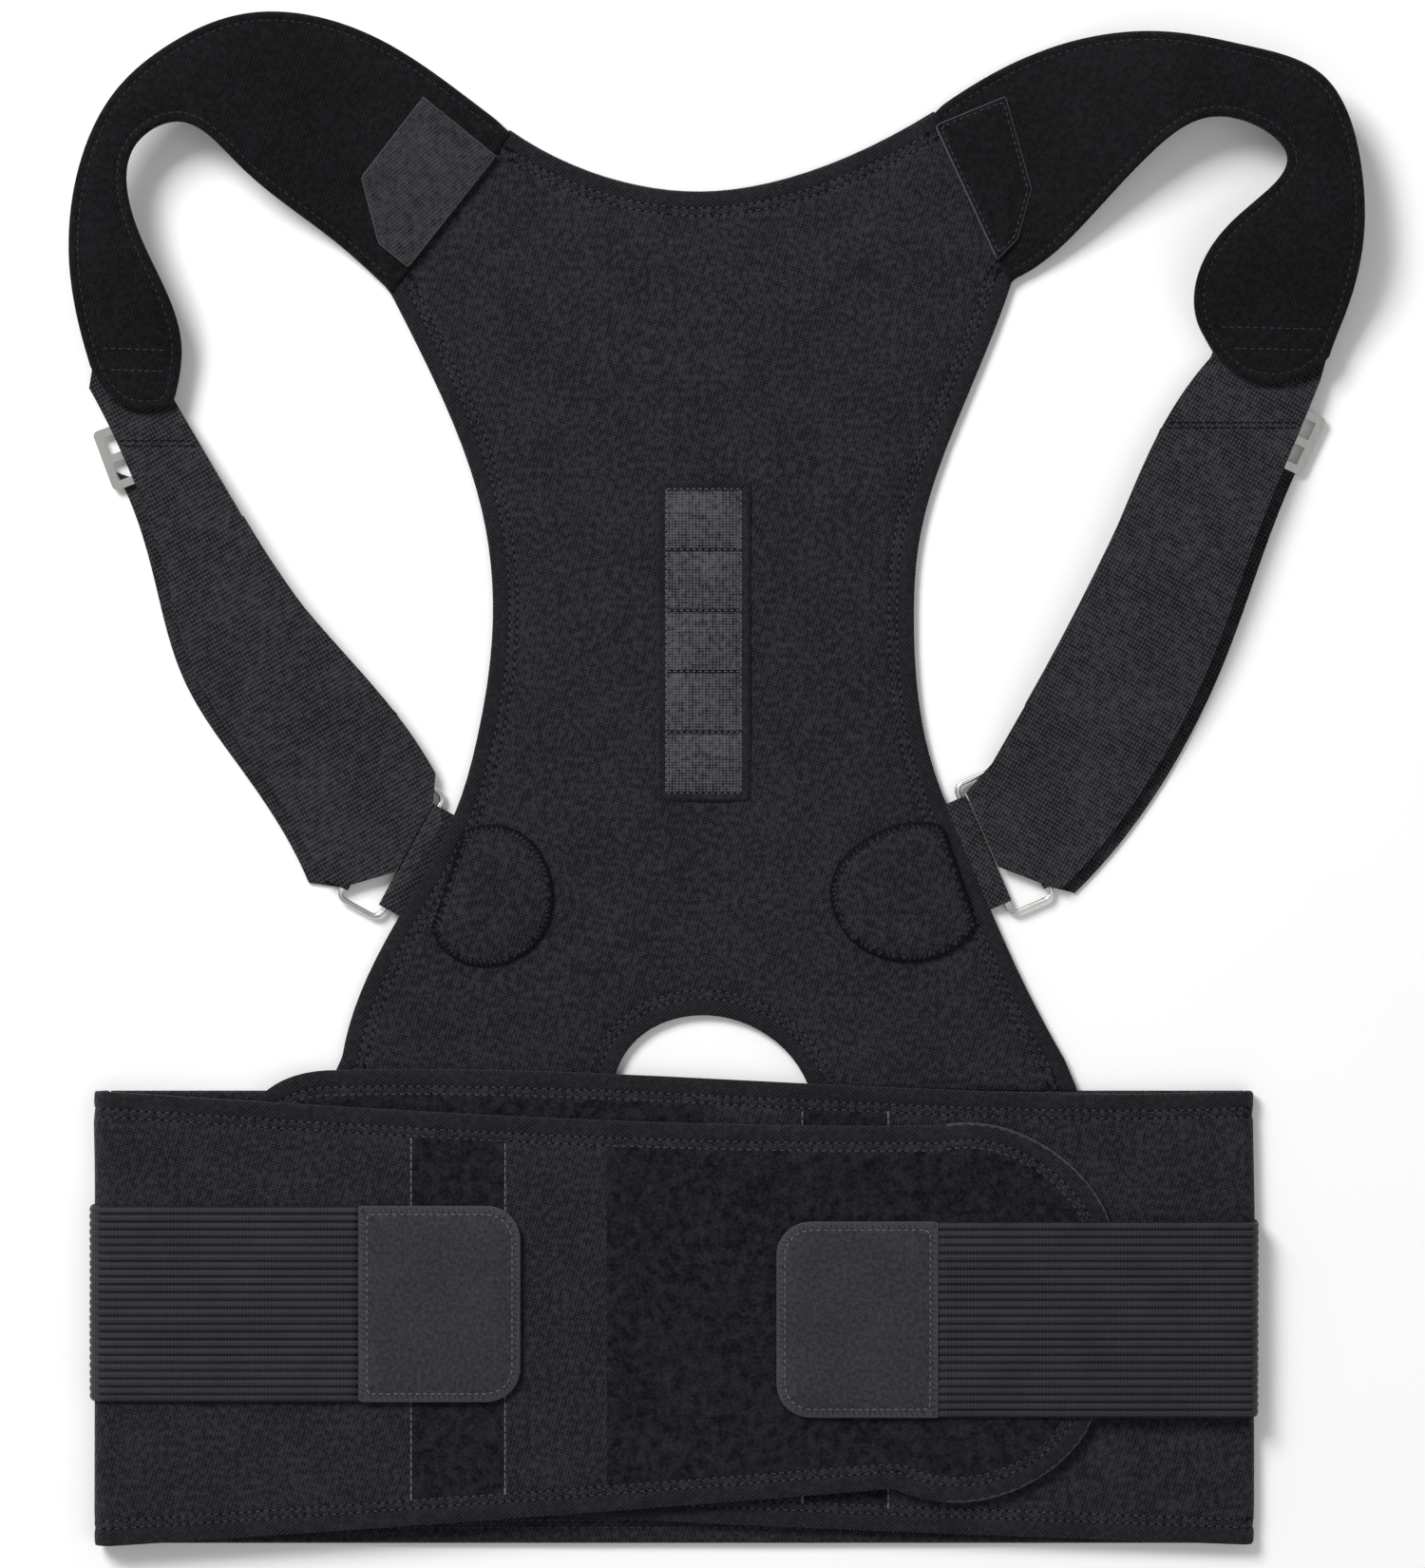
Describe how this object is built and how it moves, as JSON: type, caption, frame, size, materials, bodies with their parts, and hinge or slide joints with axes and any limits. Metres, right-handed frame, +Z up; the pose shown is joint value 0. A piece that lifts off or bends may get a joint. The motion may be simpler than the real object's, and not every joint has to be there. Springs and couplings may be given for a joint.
{
  "type": "back brace",
  "caption": "Posture-correcting back brace lying flat: padded back panel, two adjustable arm loops, and a closed lumbar belt with elastic straps.",
  "frame": {"origin": "centre of the brace's footprint, on the surface that it lies on", "axes": "+Y towards the neck, +X to the right as seen from the front, +Z up off the surface"},
  "size_m": [0.4948, 0.5879, 0.0156],
  "materials": {
    "neoprene": "matt knitted face over foam",
    "webbing": "woven",
    "elastic": "ribbed",
    "pile": "brushed loop pile",
    "tab": "smooth matt",
    "ribbed_patch": "ribbed woven",
    "nickel": "bright nickel",
    "magnet_steel": "plated disc magnet",
    "stay_plastic": "matt"
  },
  "bodies": {
    "back": {"back_panel": "neoprene", "neck_binding": "neoprene", "left_armhole_binding": "neoprene", "right_armhole_binding": "neoprene", "arch_binding": "neoprene", "magnet_patch": "ribbed_patch", "magnets": "magnet_steel", "left_anchor_patch": "neoprene", "right_anchor_patch": "neoprene", "left_anchor_webbing": "webbing", "right_anchor_webbing": "webbing", "left_shoulder_patch": "ribbed_patch", "right_shoulder_patch": "ribbed_patch", "left_shoulder_root": "neoprene", "right_shoulder_root": "neoprene", "lumbar_panel": "neoprene", "lumbar_bindings": "neoprene", "back_stays": "stay_plastic", "left_side_fold": "neoprene", "right_side_fold": "neoprene"},
    "left_loop": {"left_shoulder_pad": "neoprene", "left_strap_webbing": "webbing", "left_ring": "nickel", "left_ring_tab": "webbing"},
    "right_loop": {"right_shoulder_pad": "neoprene", "right_strap_webbing": "webbing", "right_ring": "nickel", "right_ring_tab": "webbing"},
    "left_slider_group": {"left_slider": "nickel", "left_slider_bar": "nickel"},
    "right_slider_group": {"right_slider": "nickel", "right_slider_bar": "nickel"},
    "over_wing_group": {"over_wing": "neoprene", "over_wing_binding": "neoprene", "over_wing_pile": "pile", "over_wing_channel": "neoprene", "over_wing_stay": "stay_plastic", "over_wing_hook": "pile"},
    "under_wing_group": {"under_wing": "neoprene", "under_wing_binding": "neoprene", "under_wing_pile": "pile", "under_wing_channel": "neoprene", "under_wing_stay": "stay_plastic"},
    "left_tension_strap": {"left_elastic": "elastic", "left_tab": "tab", "left_hook": "pile"},
    "right_tension_strap": {"right_elastic": "elastic", "right_tab": "tab", "right_hook": "pile"}
  },
  "joints": [
    {"name": "left_loop_swing", "type": "hinge", "parent": "back", "child": "left_loop", "pos_m": [-0.128, 0.188, 0.005], "axis": [-0.0491, 0.9988, 0], "range_deg": [0, 90]},
    {"name": "right_loop_swing", "type": "hinge", "parent": "back", "child": "right_loop", "pos_m": [0.115, 0.192, 0.005], "axis": [-0.0568, -0.9984, 0], "range_deg": [0, 90]},
    {"name": "over_wing_fold", "type": "hinge", "parent": "back", "child": "over_wing_group", "pos_m": [-0.233, -0.2065, 0.0132], "axis": [0, -1, 0], "range_deg": [0, 22]},
    {"name": "under_wing_fold", "type": "hinge", "parent": "back", "child": "under_wing_group", "pos_m": [0.203, -0.2065, 0.0086], "axis": [0, 1, 0], "range_deg": [0, 2]},
    {"name": "left_tension_fold", "type": "hinge", "parent": "over_wing_group", "child": "left_tension_strap", "pos_m": [-0.233, -0.201, 0.0152], "axis": [0, -1, 0], "range_deg": [0, 150]},
    {"name": "right_tension_fold", "type": "hinge", "parent": "back", "child": "right_tension_strap", "pos_m": [0.203, -0.207, 0.0152], "axis": [0, 1, 0], "range_deg": [0, 170]},
    {"name": "left_slider_slide", "type": "slide", "parent": "left_loop", "child": "left_slider_group", "axis": [0.3489, -0.9372, 0], "range_m": [0, 0.02]},
    {"name": "right_slider_slide", "type": "slide", "parent": "right_loop", "child": "right_slider_group", "axis": [-0.4202, -0.9074, 0], "range_m": [0, 0.02]}
  ],
  "couplings": [
    {"joint": "right_tension_fold", "follows": "over_wing_fold", "ratio": 7.7},
    {"joint": "under_wing_fold", "follows": "over_wing_fold", "ratio": 0.09}
  ]
}
